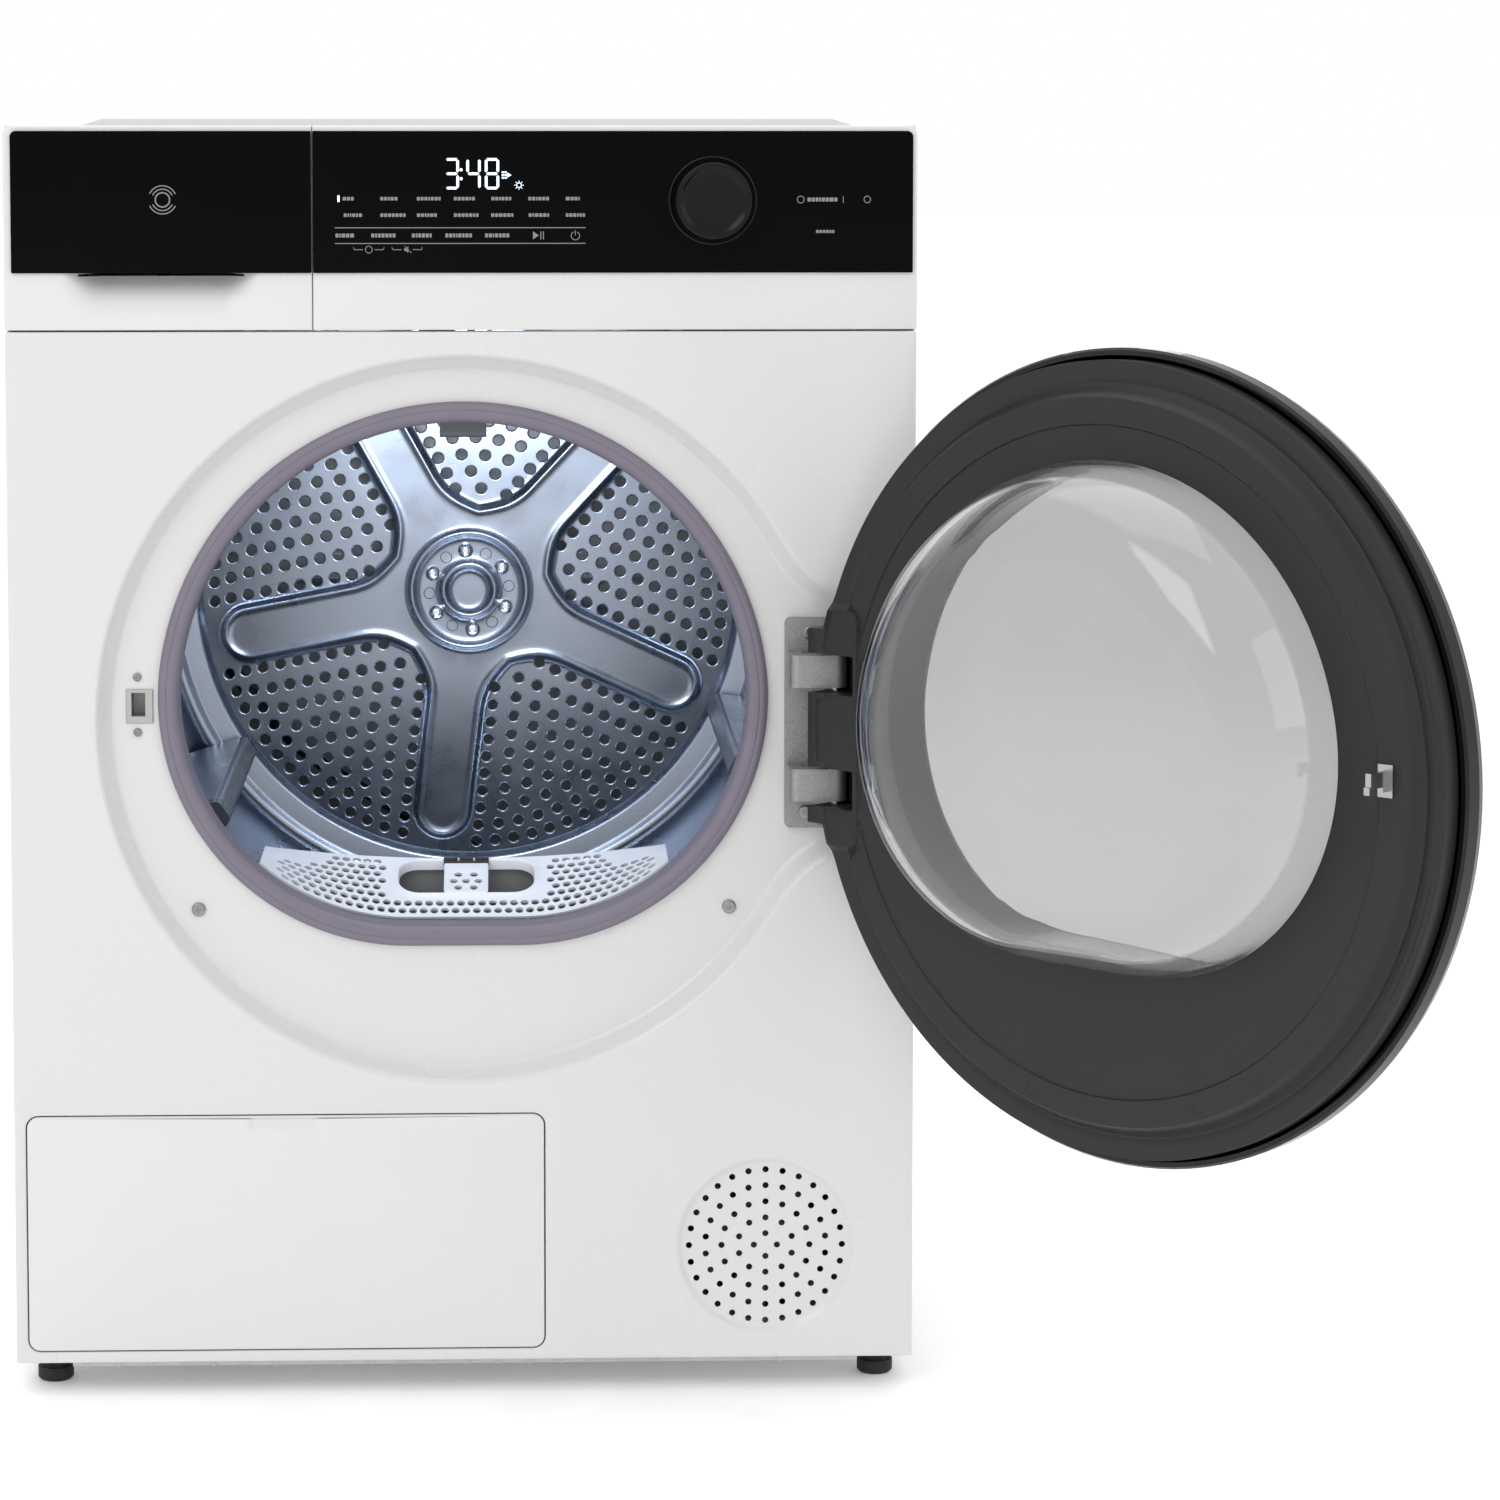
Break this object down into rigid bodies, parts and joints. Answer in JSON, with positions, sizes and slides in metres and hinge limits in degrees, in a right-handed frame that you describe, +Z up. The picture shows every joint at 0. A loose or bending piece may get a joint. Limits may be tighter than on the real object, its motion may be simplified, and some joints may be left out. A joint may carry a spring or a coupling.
{
  "type": "clothes dryer",
  "caption": "Front-loading heat-pump clothes dryer with a round swing-open glass door, perforated drum back, water tank drawer, control panel with dial, and service flap.",
  "frame": {"origin": "on the floor, under the middle of the machine's bounding box with its door open at rest", "axes": "+Z up, +X to the machine's right seen from the front (the door's hinge side), -Y out of the front"},
  "size_m": [0.8942, 0.9842, 0.845],
  "materials": {
    "white_steel": "smooth white powder coat",
    "white_plastic": "fine satin white moulding",
    "galvanised": "galvanised sheet, soft spangle",
    "black_glass": "polished black panel",
    "base_plastic": "dark moulded plastic",
    "foot_rubber": "black rubber pad",
    "display": "lit display behind smoked window",
    "circuit_board": "solder-masked board",
    "seal_rubber": "lavender-grey soft gasket, satin",
    "bulkhead_plastic": "light grey moulding",
    "lamp_lens": "smoked lens",
    "filter_plastic": "pale lavender-white moulding",
    "filter_mesh": "dark mesh in a pale frame",
    "catch_metal": "light grey",
    "hinge_metal": "die-cast, finely pebbled",
    "screw_metal": "zinc plated",
    "belt_rubber": "ribbed belt",
    "motor_metal": "black enamelled steel",
    "duct_plastic": "dark grey moulding",
    "cover_plastic": "light grey moulding",
    "fin_aluminium": "bare fins",
    "compressor_paint": "black paint",
    "copper": "copper tube",
    "hose_rubber": "grey-black hose",
    "knob_black": "black knob with polished edge",
    "drum_steel": "polished stainless steel",
    "lifter_plastic": "pale grey moulding",
    "shaft_steel": "turned steel",
    "wheel_plastic": "nylon",
    "tank_plastic": "translucent natural plastic",
    "door_ring_black": "high-gloss black",
    "door_frame_grey": "fine-grained charcoal moulding",
    "door_glass": "clear moulded glass",
    "window_tint": "smoke-tinted pane",
    "hook_metal": "chromed"
  },
  "bodies": {
    "cabinet": {"left_side_panel": "white_steel", "right_side_panel": "white_steel", "rear_panel": "galvanised", "rear_duct_cover": "galvanised", "worktop": "white_plastic", "front_panel": "white_steel", "base_tray": "base_plastic", "levelling_feet": "foot_rubber", "control_fascia": "white_plastic", "control_glass": "black_glass", "display_module": "display", "control_board": "circuit_board", "opening_seal": "seal_rubber", "front_bulkhead": "bulkhead_plastic", "drum_lamp": "lamp_lens", "outlet_grille": "filter_plastic", "filter_duct": "duct_plastic", "latch_catch": "catch_metal", "hinge_bracket": "hinge_metal", "front_screws": "screw_metal", "drum_belt": "belt_rubber", "motor_body": "motor_metal", "fan_housing": "duct_plastic", "exchanger_housing": "duct_plastic", "exchanger_cover": "cover_plastic", "evaporator": "fin_aluminium", "condenser": "fin_aluminium", "compressor": "compressor_paint", "refrigerant_pipes": "copper", "condensate_pump": "duct_plastic", "pump_hose": "hose_rubber", "tank_housing": "cover_plastic", "fan_shroud": "duct_plastic", "rear_bearing": "galvanised", "power_inlet": "duct_plastic"},
    "door": {"door_outer_ring": "door_ring_black", "door_window": "window_tint", "door_inner_frame": "door_frame_grey", "door_bowl": "door_glass", "door_hook": "hook_metal", "hinge_pins": "shaft_steel"},
    "drum": {"drum_shell": "drum_steel", "drum_rear_plate": "drum_steel", "drum_hub_screws": "screw_metal", "drum_shaft": "shaft_steel", "drum_lifters": "lifter_plastic"},
    "tank_drawer": {"tank_front": "white_plastic", "tank_glass": "black_glass", "tank_container": "tank_plastic"},
    "dial": {"dial_knob": "knob_black"},
    "lint_filter": {"filter_cassette": "filter_mesh"},
    "flap": {"service_flap": "white_plastic"},
    "motor_drive": {"motor_rotor": "shaft_steel", "blower_wheel": "wheel_plastic"},
    "idler": {"idler_pulley": "shaft_steel"},
    "roller_l": {"roller_left": "wheel_plastic"},
    "roller_r": {"roller_right": "wheel_plastic"},
    "fan": {"cooling_fan": "duct_plastic"},
    "lock_l": {"turn_lock_left": "cover_plastic"},
    "lock_r": {"turn_lock_right": "cover_plastic"}
  },
  "joints": [
    {"name": "door_hinge", "type": "hinge", "parent": "cabinet", "child": "door", "pos_m": [0.0944, -0.1259, 0.4498], "axis": [0, 0, 1], "range_deg": [-133.5, 0]},
    {"name": "drum_spin", "type": "hinge", "parent": "cabinet", "child": "drum", "pos_m": [-0.1496, 0.1921, 0.486], "axis": [0, 1, 0], "continuous": true},
    {"name": "motor_spin", "type": "hinge", "parent": "cabinet", "child": "motor_drive", "pos_m": [0.0624, 0.2921, 0.16], "axis": [0, 1, 0], "continuous": true},
    {"name": "idler_spin", "type": "hinge", "parent": "cabinet", "child": "idler", "pos_m": [-0.06773, 0.1721, 0.15857], "axis": [0, 1, 0], "continuous": true},
    {"name": "roller_left_spin", "type": "hinge", "parent": "cabinet", "child": "roller_l", "pos_m": [-0.2996, 0.0091, 0.2178], "axis": [0, 1, 0], "continuous": true},
    {"name": "roller_right_spin", "type": "hinge", "parent": "cabinet", "child": "roller_r", "pos_m": [0.0004, 0.0091, 0.2178], "axis": [0, 1, 0], "continuous": true},
    {"name": "fan_spin", "type": "hinge", "parent": "cabinet", "child": "fan", "pos_m": [0.05, -0.0759, 0.0975], "axis": [0, 1, 0], "continuous": true},
    {"name": "tank_slide", "type": "slide", "parent": "cabinet", "child": "tank_drawer", "axis": [0, -1, 0], "range_m": [0, 0.46]},
    {"name": "dial_turn", "type": "hinge", "parent": "cabinet", "child": "dial", "pos_m": [0.014, -0.1179, 0.7914], "axis": [0, 1, 0], "continuous": true},
    {"name": "filter_lift", "type": "slide", "parent": "cabinet", "child": "lint_filter", "axis": [0, 0, 1], "range_m": [0, 0.12]},
    {"name": "flap_hinge", "type": "hinge", "parent": "cabinet", "child": "flap", "pos_m": [-0.26795, -0.1045, 0.039], "axis": [1, 0, 0], "range_deg": [0, 90]},
    {"name": "lock_left_turn", "type": "hinge", "parent": "cabinet", "child": "lock_l", "pos_m": [-0.4296, -0.0819, 0.112], "axis": [0, 1, 0], "range_deg": [-90, 0]},
    {"name": "lock_right_turn", "type": "hinge", "parent": "cabinet", "child": "lock_r", "pos_m": [-0.1076, -0.0819, 0.112], "axis": [0, 1, 0], "range_deg": [0, 90]}
  ],
  "couplings": [
    {"joint": "motor_spin", "follows": "drum_spin", "ratio": 29.168},
    {"joint": "idler_spin", "follows": "drum_spin", "ratio": -13.99},
    {"joint": "roller_left_spin", "follows": "drum_spin", "ratio": -9.2333},
    {"joint": "roller_right_spin", "follows": "drum_spin", "ratio": -9.2333}
  ]
}
